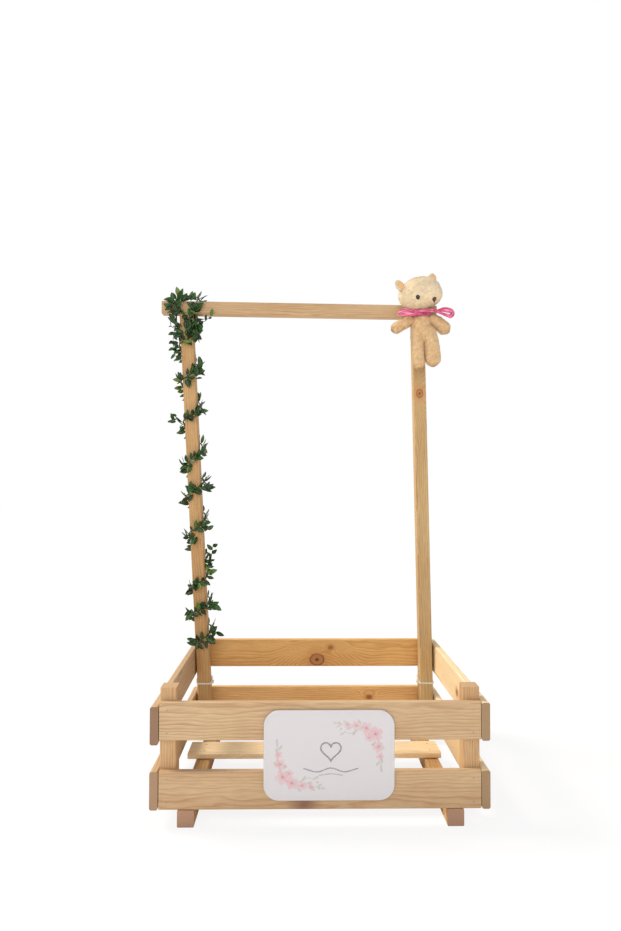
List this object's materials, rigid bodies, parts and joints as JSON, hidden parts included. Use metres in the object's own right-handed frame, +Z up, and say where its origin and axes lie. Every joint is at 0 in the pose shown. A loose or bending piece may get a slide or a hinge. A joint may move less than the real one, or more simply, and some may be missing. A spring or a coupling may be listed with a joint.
{
  "type": "wooden slatted basket with an overhead arch",
  "caption": "Low slatted pine basket with a tall wooden arch at its back, a printed front plaque, a leafy garland up one leg and a small plush bear with a ribbon bow on the rail.",
  "frame": {"origin": "middle of the bounding box of the whole object, on the floor under the two runners", "axes": "+Z up; -Y is the front with the plaque; +X is to the right as seen from the front"},
  "size_m": [0.4724, 0.334, 0.7441],
  "materials": {
    "lath_pine": "planed, bare, softly worn edges",
    "plank_pine": "planed, bare",
    "stock_pine": "planed square stock, bare",
    "rail_pine": "planed square stock, bare",
    "nail_steel": "bright wire nail",
    "tie_nylon": "natural nylon",
    "plaque_board": "printed foamed board, satin",
    "pad_foam": "double-sided foam",
    "vine_stem": "thin woody stem of an artificial garland",
    "vine_leaf": "waxy small leaf",
    "bear_plush": "short cream pile",
    "eye_plastic": "polished bead",
    "nose_thread": "embroidered",
    "ribbon_satin": "satin",
    "clear_glue": "hot-melt dab"
  },
  "bodies": {
    "root": {"back_left_post": "stock_pine", "back_lower_lath": "lath_pine", "back_plank": "plank_pine", "back_right_post": "stock_pine", "back_upper_lath": "lath_pine", "bear_body": "bear_plush", "bear_eyes": "eye_plastic", "bear_glue": "clear_glue", "bear_head": "bear_plush", "bear_left_arm": "bear_plush", "bear_left_ear": "bear_plush", "bear_left_leg": "bear_plush", "bear_muzzle": "bear_plush", "bear_nose": "nose_thread", "bear_right_arm": "bear_plush", "bear_right_ear": "bear_plush", "bear_right_leg": "bear_plush", "front_left_post": "stock_pine", "front_lower_lath": "lath_pine", "front_plank": "plank_pine", "front_plaque": "plaque_board", "front_right_post": "stock_pine", "front_upper_lath": "lath_pine", "garland_leaves": "vine_leaf", "garland_stem": "vine_stem", "hanging_sprig": "vine_stem", "lath_brads": "nail_steel", "left_arch_leg": "stock_pine", "left_cable_tie": "tie_nylon", "left_lower_lath": "lath_pine", "left_runner": "stock_pine", "left_upper_lath": "lath_pine", "middle_plank": "plank_pine", "plank_brads": "nail_steel", "plaque_pads": "pad_foam", "rail_nails": "nail_steel", "ribbon_collar": "ribbon_satin", "ribbon_knot": "ribbon_satin", "ribbon_left_loop": "ribbon_satin", "ribbon_right_loop": "ribbon_satin", "right_arch_leg": "stock_pine", "right_cable_tie": "tie_nylon", "right_lower_lath": "lath_pine", "right_runner": "stock_pine", "right_upper_lath": "lath_pine", "runner_nails": "nail_steel", "side_sprig": "vine_stem", "sprig_leaves": "vine_leaf", "top_rail": "rail_pine"}
  },
  "joints": []
}
